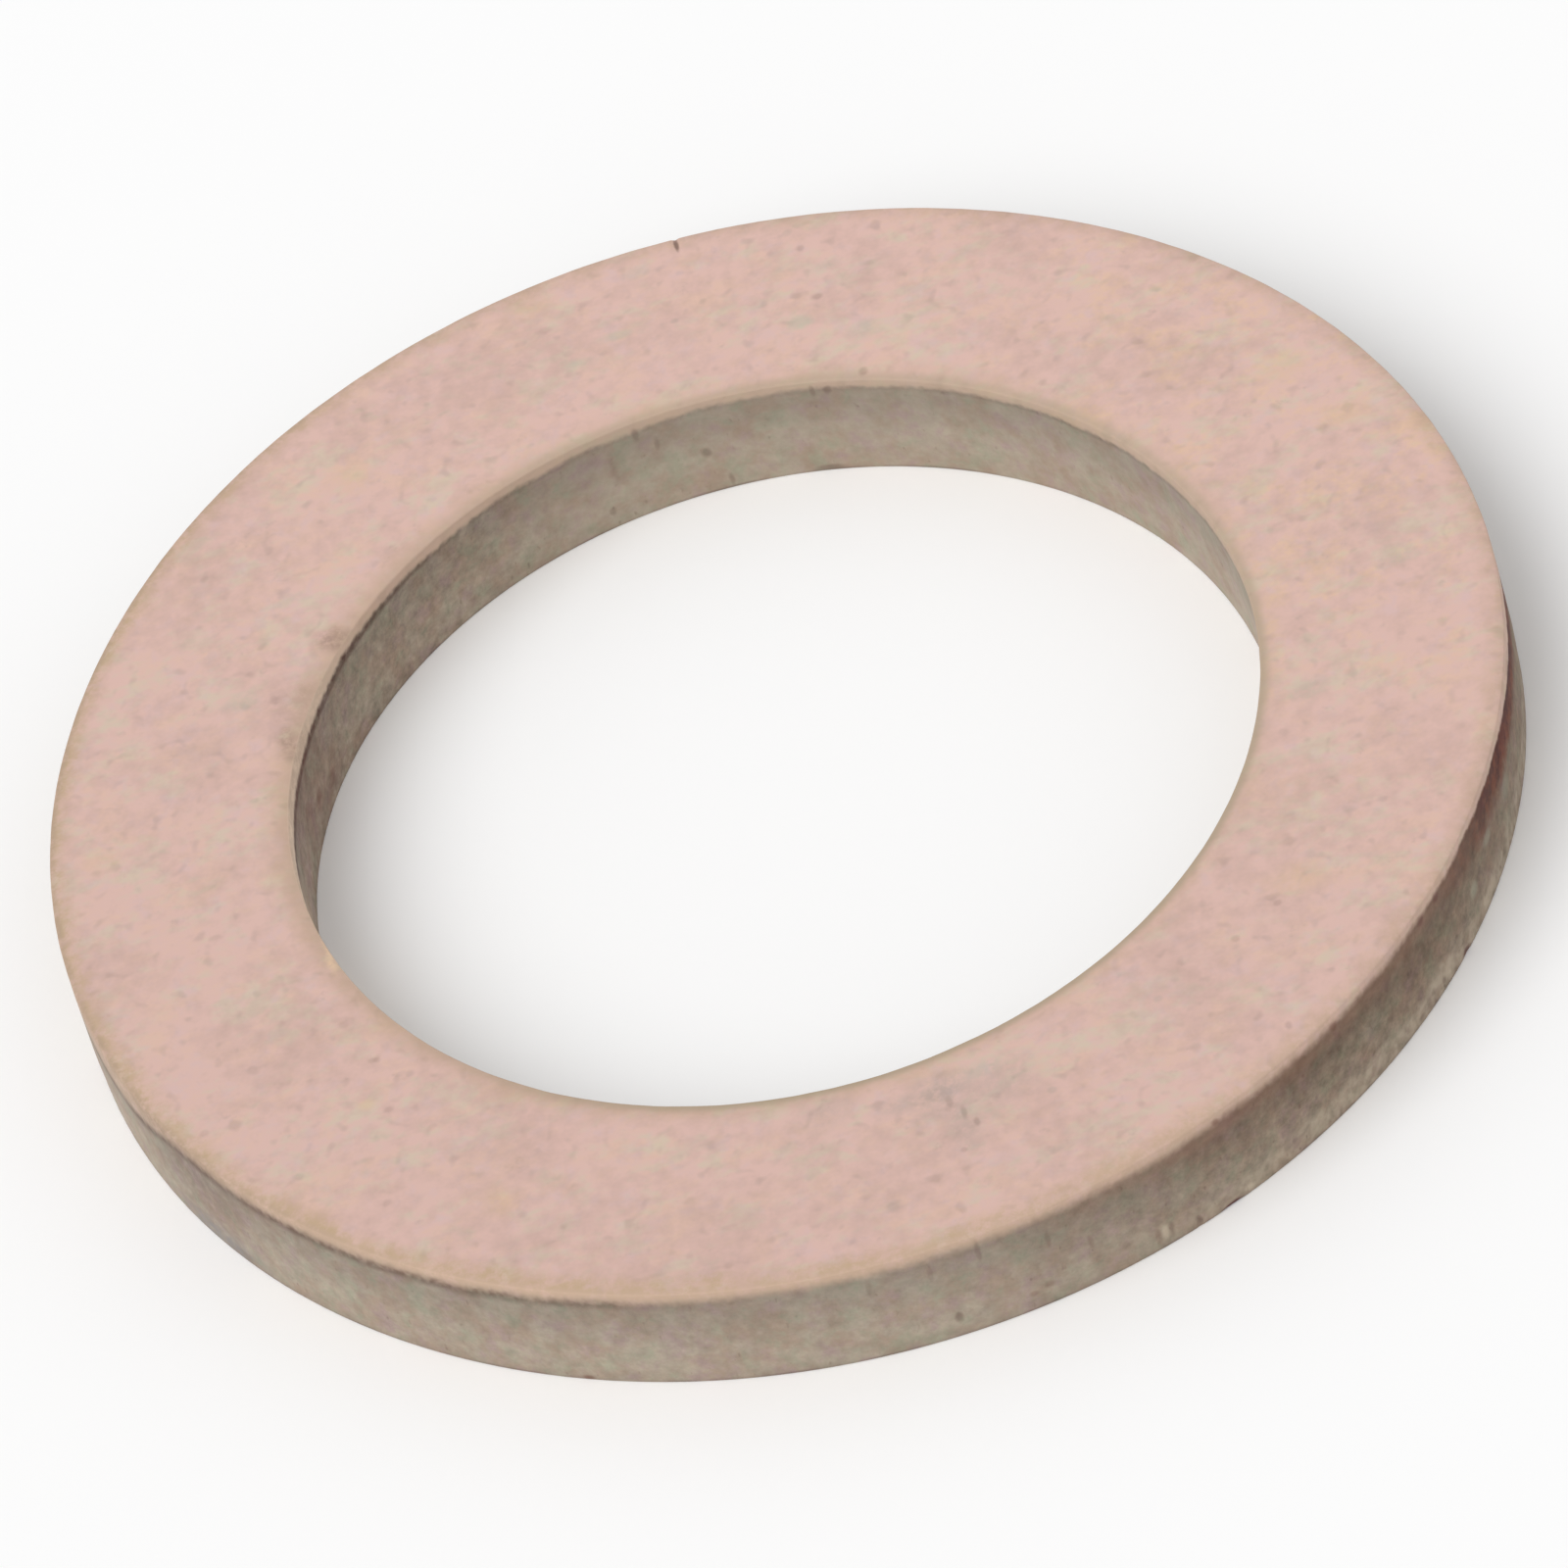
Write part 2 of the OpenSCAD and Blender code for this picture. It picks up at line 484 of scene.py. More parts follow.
@dataclass(frozen=True, eq=False)
class RingSurface:
    """Where a place lies on the ring, as expressions that the parts of the finish share."""

    graph: Graph
    place: Sock
    ring: Section
    seam: Seam = Seam()
    bore_side: float = 7.0
    outer_side: float = 8.0

    @cached_property
    def radius(self) -> Sock:
        """The distance from the ring's axis."""
        return self.graph.length(self.place * LEVEL_PLANE)

    @cached_property
    def height(self) -> Sock:
        """The height above the lower face."""
        return self.graph.axes(self.place)[2]

    @cached_property
    def down(self) -> Sock:
        """The depth below the upper face."""
        return self.ring.thickness - self.height

    @cached_property
    def outside(self) -> Sock:
        """How far inward of the outside wall a place lies."""
        return self.ring.outer_radius - self.radius

    @cached_property
    def inside(self) -> Sock:
        """How far outward of the bore's wall a place lies."""
        return self.radius - self.ring.bore_radius

    @cached_property
    def near(self) -> Sock:
        """How far a place lies from the nearer wall."""
        return self.graph.least(self.outside, self.inside)

    @cached_property
    def beads(self) -> Sock:
        """Fine noise that beads the seam below the edges."""
        return self.noise(self.seam.beads)

    @cached_property
    def drift(self) -> Sock:
        """Slow noise that shifts and fades the seam."""
        return self.noise(self.seam.drift)

    @cached_property
    def below_edge(self) -> Sock:
        """The depth down a wall, which is below 0 on the upper face."""
        return self.down - self.near

    @cached_property
    def below_seam(self) -> Sock:
        """The depth below the ragged seam."""
        seam = self.either(self.seam.bore, self.seam.outer)
        ragged = self.seam.raggedness
        return self.below_edge - seam - ragged * self.beads - ragged * self.drift

    @cached_property
    def past_seam(self) -> Sock:
        """The depth below the seam in halves of its blur, which is narrower in the bore."""
        return self.below_seam / self.either(self.seam.bore_blur, self.seam.outer_blur)

    @cached_property
    def on_wall(self) -> Sock:
        """A mask of the cut walls, from the seam down to the lower edge."""
        below = self.graph.ramp(self.past_seam, -1.0, 1.0)
        return below * self.graph.fade(self.height - self.near, self.seam.foot)

    @cached_property
    def on_side(self) -> Sock:
        """A mask of all that lies below the upper edges."""
        return self.graph.fade(self.below_edge, self.seam.edge)

    def either(self, *sides: Term | Varied) -> Sock:
        """One term near the bore and another near the outside wall."""
        bore, outer = (self.varied(side) if isinstance(side, Varied) else side for side in sides)
        return self.graph.ramp(self.radius, self.bore_side, self.outer_side, bore, outer)

    @cache
    def toward(self, sector: Sector) -> Sock:
        """A mask of one sector of the ring, made once for all that use it."""
        turn = math.radians(sector.middle)
        along = self.graph.dot(self.place, (math.cos(turn), math.sin(turn), 0.0))
        faded, whole = math.cos(math.radians(sector.faded)), math.cos(math.radians(sector.whole))
        return self.graph.ramp(along / self.radius, faded, whole)

    def varied(self, number: Varied) -> Term:
        """A number as it changes round the ring."""
        total: Term = number.base
        for gain, sector in number.gains:
            total = total + gain * self.toward(sector)
        return total

    @cache
    def noise(self, mottle: Mottle) -> Sock:
        """Noise over the ring, made once for all that use it."""
        return self.graph.noise(self.place, mottle)

    def patches(self, mottle: Mottle, fade: Fade) -> Sock:
        """Patches made of noise by a smooth step."""
        return self.graph.fade(self.noise(mottle), fade)


@dataclass(frozen=True)
class Layer:
    """Patches of one colour, made of noise by a smooth step, with their strength."""

    colour: Rgb
    mottle: Mottle
    fade: Fade
    strength: Varied = Varied(1)

    def over(self, at: RingSurface, base: Term) -> Sock:
        """Lays the patches over a colour."""
        amount = at.patches(self.mottle, self.fade) * at.varied(self.strength)
        return at.graph.tint(base, linear(self.colour), amount)


@dataclass(frozen=True)
class FaceFinish:
    """The mottled pink of the rolled sheet."""

    pink: Rgb = (216, 183, 173)
    straw: Layer = Layer((222, 191, 150), Mottle(0.8, 7, 4, 0.85, (1.3, 1, 1)), Fade(-0.04, 0.16),
                         varied(0.2, (0.26, 18, 45, 10)))
    sage: Layer = Layer((200, 199, 172), Mottle(0.6, 4, 3, 0.9, (1.5, 1, 1)), Fade(-0.02, 0.2),
                        Varied(0.45))
    lilac: Layer = Layer((208, 182, 184), Mottle(0.3, 22, 2, 0.8), Fade(0, 0.25), Varied(0.4))
    smut: Rgb = (188, 159, 148)
    smut_level: float = 0.13
    clouds: Mottle = Mottle(1.7, 1, 1, 0.75)
    cloud_strength: float = 0.85
    grain: Mottle = Mottle(0.22, 24, 2, 0.6)
    grain_strength: float = 1.2
    specks: Layer = Layer((150, 130, 120), Mottle(0.2, 14, 0.5), Fade(0.1, 0.34), Varied(0.28))
    spots: Layer = Layer((150, 130, 120), Mottle(0.28, 20, 3, 0.7), Fade(0.12, 0.32), Varied(0.24))
    # Painted light: a slight gradient, lighter towards +X and +Y.
    slope: Triple = (0.0014, 0.0024, 0.0)

    def colour(self, at: RingSurface) -> Sock:
        """The face's colour, before its edges and marks."""
        graph = at.graph
        colour: Term = linear(self.pink)
        for layer in (self.straw, self.sage, self.lilac):
            colour = layer.over(at, colour)
        smut = self.smut_level + self.cloud_strength * at.noise(self.clouds)
        smut = smut + self.grain_strength * at.noise(self.grain)
        colour = graph.tint(colour, linear(self.smut), smut)
        for layer in (self.specks, self.spots):
            colour = layer.over(at, colour)
        # Painted light: the face is made lighter towards +X and +Y.
        return graph.shade(colour, graph.dot(at.place, self.slope) + 1.0)


@dataclass(frozen=True)
class RimFinish:
    """The tan along the outside edge, with painted light and shade on its brink, and the tan, the olive
    and a painted glint along the bore's.
    """

    tan: Rgb = (190, 165, 136)
    olive: Rgb = (168, 154, 130)
    # A painted highlight: the pale glint below the bore's edge at its left end.
    lip: Rgb = (232, 209, 186)
    # Painted light and shade for the outside edge's brink: one colour where it is lit, one where it is
    # shaded.
    brink_lit: Rgb = (196, 169, 150)
    brink_dull: Rgb = (172, 149, 132)
    wander: Mottle = Mottle(0.5, 9, 4, 0.75)
    wander_reach: float = 0.5
    breaks: Mottle = Mottle(0.25, 25, 3, 0.8)
    broken: Fade = Fade(-0.15, 0.12, 0.5, 1.3)
    left: Sector = Sector(200, 130, 40)
    outer_tan: Fade = Fade(0.36, 0)
    outer_strength: Varied = Varied(0.3, ((0.5, left),))
    bore_tan: Fade = Fade(0.44, 0)
    bore_strength: Varied = Varied(0.3, ((0.2, left),))
    hem: Fade = Fade(0.18, 0.03)
    hem_wander: float = 0.1
    hem_strength: Varied = varied(0.45, (0.25, 300, 80, 30), (-0.4, 172, 75, 25))
    lip_sector: Sector = Sector(176, 42, 16)
    lip_depth: Fade = Fade(-0.01, 0.05)
    lip_strength: float = 0.85
    brink: Fade = Fade(0.12, 0)
    brink_wander: float = 0.2
    brink_strength: Varied = Varied(0.15, ((0.4, left),))
    lit_sector: Sector = Sector(262, 60, 20)

    def over(self, at: RingSurface, colour: Sock) -> Sock:
        """Lays the rims over the face's colour."""
        graph = at.graph
        wander = self.wander_reach * at.noise(self.wander)
        patchy = at.patches(self.breaks, self.broken)
        outer = graph.fade(at.outside + wander, self.outer_tan) * at.varied(self.outer_strength)
        bore = graph.fade(at.inside + wander, self.bore_tan) * at.varied(self.bore_strength)
        colour = graph.tint(colour, linear(self.tan), outer * patchy + bore)
        hem = graph.fade(at.inside + self.hem_wander * wander, self.hem)
        colour = graph.tint(colour, linear(self.olive), hem * at.varied(self.hem_strength))
        # Painted highlight: a pale glint painted between the bore's edge and its seam at the left end.
        lip = at.toward(self.lip_sector) * at.either(1.0, 0.0)
        lip = lip * graph.fade(at.below_edge, self.lip_depth)
        colour = graph.tint(colour, linear(self.lip), self.lip_strength * lip)
        # Painted light and shade on the outside edge's brink: its lit colour towards the front, its shaded
        # colour round the rest.
        brink = graph.fade(at.outside + self.brink_wander * wander, self.brink)
        brink = brink * at.varied(self.brink_strength) * patchy
        shade = graph.tint(linear(self.brink_dull), linear(self.brink_lit), at.toward(self.lit_sector))
        return graph.tint(colour, shade, brink)


@dataclass(frozen=True)
class LineFinish:
    """The dark, broken line along the seam below the edges."""

    bore: Rgb = (74, 38, 30)
    outer: Rgb = (100, 74, 62)
    bore_strength: Varied = varied(0.3, (0.55, 168, 50, 28), (-0.2, 80, 35, 10))
    outer_strength: Varied = varied(0.14, (0.7, 206, 52, 20))
    beading: Fade = Fade(0.2, -0.2, 0.5, 1)
    drifting: Fade = Fade(0.25, -0.1, 0.7, 1)
    start: Fade = Fade(-0.8, 0.4)
    bore_end: Varied = varied(2, (1.2, 168, 50, 20))
    outer_end: float = 2.0
    tail: float = 1.4

    def over(self, at: RingSurface, colour: Sock) -> Sock:
        """Draws the line over the wall's colour."""
        graph = at.graph
        strength = at.either(self.bore_strength, self.outer_strength)
        broken = graph.fade(at.beads, self.beading) * graph.fade(at.drift, self.drifting)
        end = at.either(self.bore_end, self.outer_end)
        line = graph.ramp(at.past_seam, end, end - self.tail)
        line = graph.fade(at.past_seam, self.start) * line
        ink = graph.tint(linear(self.bore), linear(self.outer), at.either(0.0, 1.0))
        return graph.tint(colour, ink, line * strength * broken)


@dataclass(frozen=True)
class WallFinish:
    """The olive-grey of the cut walls, browner on the right and paler on the torn band, with painted shade
    by height and by the side that each wall faces.
    """

    grey: Rgb = (175, 163, 147)
    tones: Mottle = Mottle(0.36, 15, 3, 0.72)
    warm: Layer = Layer((168, 149, 132), Mottle(0.5, 5, 3, 0.7), Fade(-0.15, 0.2))
    rose: Layer = Layer((172, 149, 146), tones, Fade(0, 0.2, 0, 0.65))
    green: Layer = Layer((156, 160, 138), tones, Fade(0, -0.2, 0, 0.5))
    strokes: Mottle = Mottle(0.2, 2, 3, 0.75)
    bore_strokes: Varied = varied(0.4, (0.95, 150, 50, 0))
    outer_strokes: Varied = varied(0.68, (0.8, 325, 50, 10))
    # Painted shade: the walls are darker towards the upper edge, the outside wall also at its foot, and
    # the bore walls a little lighter; the shaded colour falls on the sides that face away from the lamp.
    top_level: Fade = Fade(1.35, 0.45, 0.8, 1)
    bore_level: float = 1.04
    outer_foot_level: Fade = Fade(0, 0.2, 0.92, 1)
    shaded: Rgb = (200, 190, 181)
    bore_shade: Varied = varied(0, (0.4, 150, 60, 0))
    outer_shade: Varied = varied(0, (1, 332, 66, 0))
    shade_height: Fade = Fade(0.2, 0.9, 0.7, 1)
    brown: Rgb = (152, 113, 94)
    brown_strength: Varied = varied(0, (0.35, 315, 42, 20))
    brown_height: Fade = Fade(1.1, 1.3)
    band: Rgb = (190, 175, 156)
    band_edge: Mottle = Mottle(0.5, 3, 3, 0.7)
    band_reach: float = 0.5
    band_height: Fade = Fade(0.46, 0.22)
    band_strength: Varied = varied(0, (0.75, 320, 42, 12))
    streaks: Mottle = Mottle(0.13, 6, stretch=(1, 1, 1.3))
    streaky: Fade = Fade(-0.2, 0.2, 0.2, 1)
    line: LineFinish = LineFinish()
    foot: Rgb = (98, 82, 82)
    foot_height: Fade = Fade(0.06, 0.015)
    foot_drift: Fade = Fade(0.1, -0.15, 0.1, 0.4)
    ticks: Layer = Layer(Stain.DIRT.value, Mottle(0.085, 16, 1, stretch=(1, 1, 1.8)),
                         Fade(0.18, 0.34), varied(0.4, (0.25, 320, 50, 20)))

    def colour(self, at: RingSurface) -> Sock:
        """The walls' colour, before the rust and the marks."""
        graph, height = at.graph, at.height
        colour: Term = linear(self.grey)
        for layer in (self.warm, self.rose, self.green):
            colour = layer.over(at, colour)
        rough = at.either(self.bore_strokes, self.outer_strokes)
        # Painted shade: darker towards the upper edge, and outside also at the foot; the bore is lifted a
        # little, and the strokes vary it at random.
        level = graph.fade(height, self.top_level) * (1.0 + rough * at.noise(self.strokes))
        level = level * at.either(self.bore_level, graph.fade(height, self.outer_foot_level))
        colour = graph.shade(colour, level)
        # Painted shade: the outside wall on the right and the bore wall on the left, which face away from
        # the lamp, darkened mostly high up.
        painted_shade = at.either(self.bore_shade, self.outer_shade)
        painted_shade = painted_shade * graph.fade(height, self.shade_height)
        colour = graph.tint(colour, linear(self.shaded), painted_shade, "MULTIPLY")
        brown = at.varied(self.brown_strength) * graph.fade(height, self.brown_height)
        colour = graph.tint(colour, linear(self.brown), brown * at.either(0.0, 1.0))
        torn = graph.fade(height + self.band_reach * at.noise(self.band_edge), self.band_height)
        torn = torn * at.varied(self.band_strength) * at.patches(self.streaks, self.streaky)
        colour = graph.tint(colour, linear(self.band), torn)
        colour = self.line.over(at, colour)
        foot = graph.fade(height, self.foot_height) * graph.fade(at.drift, self.foot_drift)
        return self.ticks.over(at, graph.tint(colour, linear(self.foot), foot))


@dataclass(frozen=True)
class RustFinish:
    """The red-brown bloom below the outside edge on the right, and in the bore on the left."""

    dark: Rgb = (72, 26, 16)
    bright: Rgb = (114, 60, 38)
    clumps: Mottle = Mottle(0.4, 19, 4, 0.8)
    outer_strength: Varied = varied(0, (0.95, 358, 40, 16), (0.12, 325, 50, 15))
    outer_reach: float = 0.5
    outer_height: Fade = Fade(0.8, 1.2)
    outer_start: Fade = Fade(-0.8, 0.6)
    bore_strength: Varied = varied(0, (0.2, 172, 36, 10))
    bore_clumps: Fade = Fade(-0.15, 0.1)
    shades: Mottle = Mottle(0.22, 21, 3, 0.7)
    shade_by_depth: float = 0.4
    shading: Fade = Fade(-0.05, 0.24)

    def over(self, at: RingSurface, colour: Sock) -> Sock:
        """Lays the rust over the whole ring's colour."""
        graph = at.graph
        top = graph.fade(at.height + self.outer_reach * at.noise(self.clumps), self.outer_height)
        outer = at.varied(self.outer_strength) * top * graph.fade(at.past_seam, self.outer_start)
        bore = at.varied(self.bore_strength) * at.patches(self.clumps, self.bore_clumps)
        bloom = at.either(bore, outer) * at.on_side
        shade = at.noise(self.shades) + self.shade_by_depth * at.below_seam
        rust = graph.tint(linear(self.dark), linear(self.bright), graph.fade(shade, self.shading))
        return graph.tint(colour, rust, bloom)


@dataclass(frozen=True)
class StainFinish:
    """How the marks' outlines are shaken, and how the broad ones are broken up."""

    shake_scale: float = 5.0
    shake_detail: float = 3.0
    ragged_reach: float = 0.05
    torn_reach: float = 0.16
    breaks: Mottle = Mottle(0.16, 17, 3, 0.7)
    broken: Fade = Fade(-0.2, 0.1, 0.3, 1)

    def over(self, at: RingSurface, colour: Sock) -> Sock:
        """Lays the marks over a colour, each on its own side of the edges."""
        graph, place, ring = at.graph, at.place, at.ring
        sockets = {"Vector": place, "Scale": self.shake_scale, "Detail": self.shake_detail}
        shake = graph.add("ShaderNodeTexNoise", sockets, "Color") + (-NOISE_MEAN,) * 3
        ragged = place + self.ragged_reach * shake
        torn = place + self.torn_reach * shake
        broken = at.patches(self.breaks, self.broken)
        for group, side in ((FACE_MARKS, 1.0 - at.on_side), (WALL_MARKS, at.on_side)):
            for stain in sorted({mark.stain for mark in group}, key=lambda stain: stain.name):
                small: Term = 0.0
                broad: Term = 0.0
                for mark in group:
                    if mark.stain is stain and mark.is_broad:
                        broad = graph.most(broad, mark.cover(graph, torn, ring, mark.strength))
                    elif mark.stain is stain:
                        small = graph.most(small, mark.cover(graph, ragged, ring, mark.strength))
                cover = graph.most(small, broken * broad)
                colour = graph.tint(colour, linear(stain.value), cover * side)
        return colour


@dataclass(frozen=True)
class CopperFinish:
    """Annealed and tumbled copper: a pink, mottled face, and cut walls gone olive-grey."""

    ring: Section
    face: FaceFinish = FaceFinish()
    rims: RimFinish = RimFinish()
    wall: WallFinish = WallFinish()
    rust: RustFinish = RustFinish()
    stains: StainFinish = StainFinish()
    metallic: float = 0.5
    roughness: float = 0.56
    sheen_level: float = 0.25
    edge_width: Fade = Fade(0.3, 0.05)
    edge_depth: Fade = Fade(0.25, 0.1)
    edge_metal_loss: float = 0.7
    edge_roughness: float = 0.25
    wall_roughness: float = 0.06
    smears: Mottle = Mottle(0.3)
    smear_roughness: float = 0.12
    rolling: Mottle = Mottle(0.06, 11, stretch=(2.5, 1, 1))
    rolling_depth: float = 0.0014
    pits: Mottle = Mottle(0.12, 12)
    pit_depth: float = 0.005

    def material(self) -> bpy.types.Material:
        """Builds the shader.

        Returns:
            The material, ready for the ring's tree.
        """
        made = bpy.data.materials.new("tumbled_copper")
        made.use_nodes = True
        made.node_tree.nodes.clear()
        graph = Graph(made.node_tree)
        place = graph.add("ShaderNodeTexCoord", out="Object") * (1.0 / METRES_PER_MM)
        at = RingSurface(graph, place, self.ring)

        face = self.rims.over(at, self.face.colour(at))
        colour = graph.tint(face, self.wall.colour(at), at.on_wall)
        colour = self.stains.over(at, self.rust.over(at, colour))
        edge = graph.fade(at.down + at.near, self.edge_width)
        edge = edge * graph.fade(at.down, self.edge_depth)
        roughness = self.roughness + self.smear_roughness * at.noise(self.smears)
        roughness = roughness + self.wall_roughness * at.on_wall + self.edge_roughness * edge
        bump = {"Distance": METRES_PER_MM, "Height": self.relief(at)}
        shader = graph.add("ShaderNodeBsdfPrincipled", {
            "Base Color": colour,
            "Metallic": self.metallic * (1.0 - self.edge_metal_loss * edge),
            "Roughness": roughness,
            "Specular IOR Level": self.sheen_level,
            "Normal": graph.add("ShaderNodeBump", bump),
        })
        graph.finish("ShaderNodeOutputMaterial", "Surface", shader)
        return made

    def relief(self, at: RingSurface) -> Sock:
        """The height of the finest relief: rolling grain on the face, cutting strokes on the walls."""
        grain = at.noise(self.rolling) * self.rolling_depth * (1.0 - at.on_side)
        return grain + at.noise(self.pits) * self.pit_depth * at.on_side


@dataclass(frozen=True)
class Wear:
    """What the blank has lost along its rolled edges and its torn bands, in millimetres."""

    wobble: float = 0.014
    waver: Mottle = Mottle(0.45, 21)
    rim_width: Fade = Fade(0.26, 0.08)
    rim_depth: Fade = Fade(0, 0.04)
    tear: float = 0.012
    pluck: Mottle = Mottle(0.16, 23, 3)
    band_edge: Mottle = Mottle(0.6, 22)
    band_reach: float = 0.25
    band_height: Fade = Fade(0.45, 0.3)
    band_near: Fade = Fade(0.06, 0.05)
    foot: Fade = Fade(0, 0.03)
    lift: float = 0.3

    def rim(self, graph: Graph, place: Sock, near: Sock, down: Sock) -> Sock:
        """The depth of the rolled edges' waver."""
        waver = graph.most(graph.noise(place, self.waver) + self.lift, 0.0)
        rim = graph.fade(near + down, self.rim_width) * graph.fade(down, self.rim_depth)
        return self.wobble * waver * rim

    def band(self, graph: Graph, place: Sock, near: Sock, height: Sock) -> Sock:
        """The depth of the torn bands' plucking."""
        edge = height + self.band_reach * graph.noise(place, self.band_edge)
        torn = graph.fade(edge, self.band_height) * graph.fade(near, self.band_near)
        pluck = graph.most(graph.noise(place, self.pluck) + self.lift, 0.0)
        return self.tear * pluck * torn * graph.fade(height, self.foot)


@dataclass
class SealingRing:
    """The ring: its section's arcs and lines, turned round the axis and roughened as a blank is."""

    ring: Section
    finish: CopperFinish
    wear: Wear = Wear()
    columns: int = 1040
    roll_steps: int = 8
    nose_steps: int = 7
    land_steps: int = 10
    band_steps: int = 6
    edge_steps: int = 4
    face_steps: int = 8
    weld: float = 0.0008

    def build(self) -> bpy.types.Object:
        """Makes the ring's mesh from its node tree and puts it in the frame.

        Returns:
            The finished piece.
        """
        tree, inputs = self.node_tree()
        seed = placed("copper_ring", bpy.data.meshes.new(NODE + "_seed"))
        modifier = seed.modifiers.new("ring", "NODES")
        modifier.node_group = tree
        for name, value in inputs.items():
            socket = tree.interface.items_tree[name]
            modifier[socket.identifier] = value
        depsgraph = bpy.context.evaluated_depsgraph_get()
        seed.data = bpy.data.meshes.new_from_object(seed.evaluated_get(depsgraph))
        seed.modifiers.clear()
        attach(seed, "root")
        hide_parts(NODE)
        return seed

    def node_tree(self) -> tuple[bpy.types.NodeTree, dict[str, Any]]:
        """Builds the tree that makes the ring.

        Returns:
            The tree, and the value of each of its inputs by name.
        """
        tree = bpy.data.node_groups.new("sealing_ring", "GeometryNodeTree")
        tree.interface.new_socket(name="Ring", in_out="OUTPUT", socket_type="NodeSocketGeometry")
        inputs: dict[str, Any] = {}
        for field in fields(self.ring):
            inputs[field.name.replace("_", " ").title()] = getattr(self.ring, field.name)
        for name in inputs:
            tree.interface.new_socket(name=name, in_out="INPUT", socket_type="NodeSocketFloat")
        inputs["Columns"] = self.columns
        tree.interface.new_socket(name="Columns", in_out="INPUT", socket_type="NodeSocketInt")
        inputs["Finish"] = self.finish.material()
        tree.interface.new_socket(name="Finish", in_out="INPUT", socket_type="NodeSocketMaterial")

        graph = Graph(tree)
        group = tree.nodes.new("NodeGroupInput")
        size = {name: Sock(graph, group.outputs[name]) for name in inputs}
        blank = self.turned(graph, size)
        worn = self.roughened(graph, blank, size)
        smooth = graph.add("GeometryNodeSetShadeSmooth", {"Geometry": worn})
        scaling = {"Geometry": smooth, "Scale": (METRES_PER_MM,) * 3}
        metres = graph.add("GeometryNodeTransform", scaling)
        solid = graph.add("GeometryNodeRealizeInstances", {"Geometry": metres})
        dressing = {"Geometry": solid, "Material": size["Finish"]}
        graph.finish("NodeGroupOutput", "Ring", graph.add("GeometryNodeSetMaterial", dressing))
        return tree, inputs

    def turned(self, graph: Graph, size: dict[str, Sock]) -> Sock:
        """Turns the section round the axis.

        Args:
            graph: The ring's tree.
            size: The tree's inputs by name.

        Returns:
            The mesh, standing on its lower face.
        """
        half_width = (size["Outer Radius"] - size["Bore Radius"]) * 0.5
        half_thick = size["Thickness"] * 0.5
        middle = (size["Outer Radius"] + size["Bore Radius"]) * 0.5
        strands = [*self.side(graph, size, "Outer", half_width, half_thick, 1.0),
                   *self.side(graph, size, "Bore", half_width, half_thick, -1.0)]
        joined = graph.add("GeometryNodeJoinGeometry", {"Geometry": strands})
        points = graph.add("GeometryNodeCurveToPoints", {"Curve": joined}, mode="EVALUATED")
        welding = {"Geometry": points, "Distance": self.weld}
        welded = graph.add("GeometryNodeMergeByDistance", welding)
        x, y, _ = graph.axes(graph.add("GeometryNodeInputPosition"))
        outline = graph.add("GeometryNodePointsToCurves",
                            {"Points": welded, "Weight": graph.math("ARCTAN2", y, x)})
        closed = graph.add("GeometryNodeSetSplineCyclic", {"Geometry": outline, "Cyclic": True})
        path = graph.add("GeometryNodeCurvePrimitiveCircle",
                         {"Resolution": size["Columns"], "Radius": middle}, mode="RADIUS")
        swept = graph.add("GeometryNodeCurveToMesh", {"Curve": path, "Profile Curve": closed})
        lift = graph.vector(0.0, 0.0, half_thick)
        return graph.add("GeometryNodeTransform", {
            "Geometry": swept, "Rotation": (math.pi, 0.0, 0.0), "Translation": lift})

    def side(self, graph: Graph, size: dict[str, Sock], name: str, half_width: Sock, half_thick: Sock,
             sign: float) -> list[Sock]:
        """The strands of the section beside one cut wall.

        Args:
            graph: The ring's tree.
            size: The tree's inputs by name.
            name: "Outer" or "Bore".
            half_width: Half the face's width.
            half_thick: Half the thickness.
            sign: 1 where the wall faces out, -1 where it faces in.

        Returns:
            The curves, about the section's centre.
        """
        roll_width, roll_radius = size[name + " Roll Width"], size[name + " Roll Radius"]
        nose_radius, edge_radius = size["Nose Radius"], size["Lower Edge Radius"]
        setback, band = size["Band Setback"], size[name + " Band Height"]
        reach, across = roll_radius - nose_radius, roll_width - nose_radius
        rise = graph.math("SQRT", graph.math("POWER", reach, 2.0) - graph.math("POWER", across, 2.0))
        roll = (-roll_width, half_thick - roll_radius)
        nose = (-nose_radius, roll[1] + rise)
        turn = graph.math("ARCTAN2", nose[1] - roll[1], nose[0] - roll[0])
        slant = graph.math("SQRT", setback * setback + band * band)
        edge = (-setback - edge_radius * (slant - setback) / band, edge_radius - half_thick)
        lean = graph.math("ARCTAN2", -setback, band)
        band_end = (edge[0] + edge_radius * band / slant, edge[1] - edge_radius * setback / slant)

        strands = [
            graph.line((-half_width, half_thick), (-roll_width, half_thick), self.face_steps),
            graph.arc(roll, roll_radius, math.pi / 2, turn, self.roll_steps),
            graph.arc(nose, nose_radius, turn, 0.0, self.nose_steps),
            graph.line((0.0, nose[1]), (0.0, band - half_thick), self.land_steps),
            graph.line((0.0, band - half_thick), band_end, self.band_steps),
            graph.arc(edge, edge_radius, lean, -math.pi / 2, self.edge_steps),
            graph.line((edge[0], -half_thick), (-half_width, -half_thick), self.face_steps // 2),
        ]
        placing = {"Translation": graph.vector(half_width * sign, 0.0), "Scale": (sign, 1.0, 1.0)}
        return [graph.add("GeometryNodeTransform", {"Geometry": strand, **placing})
                for strand in strands]

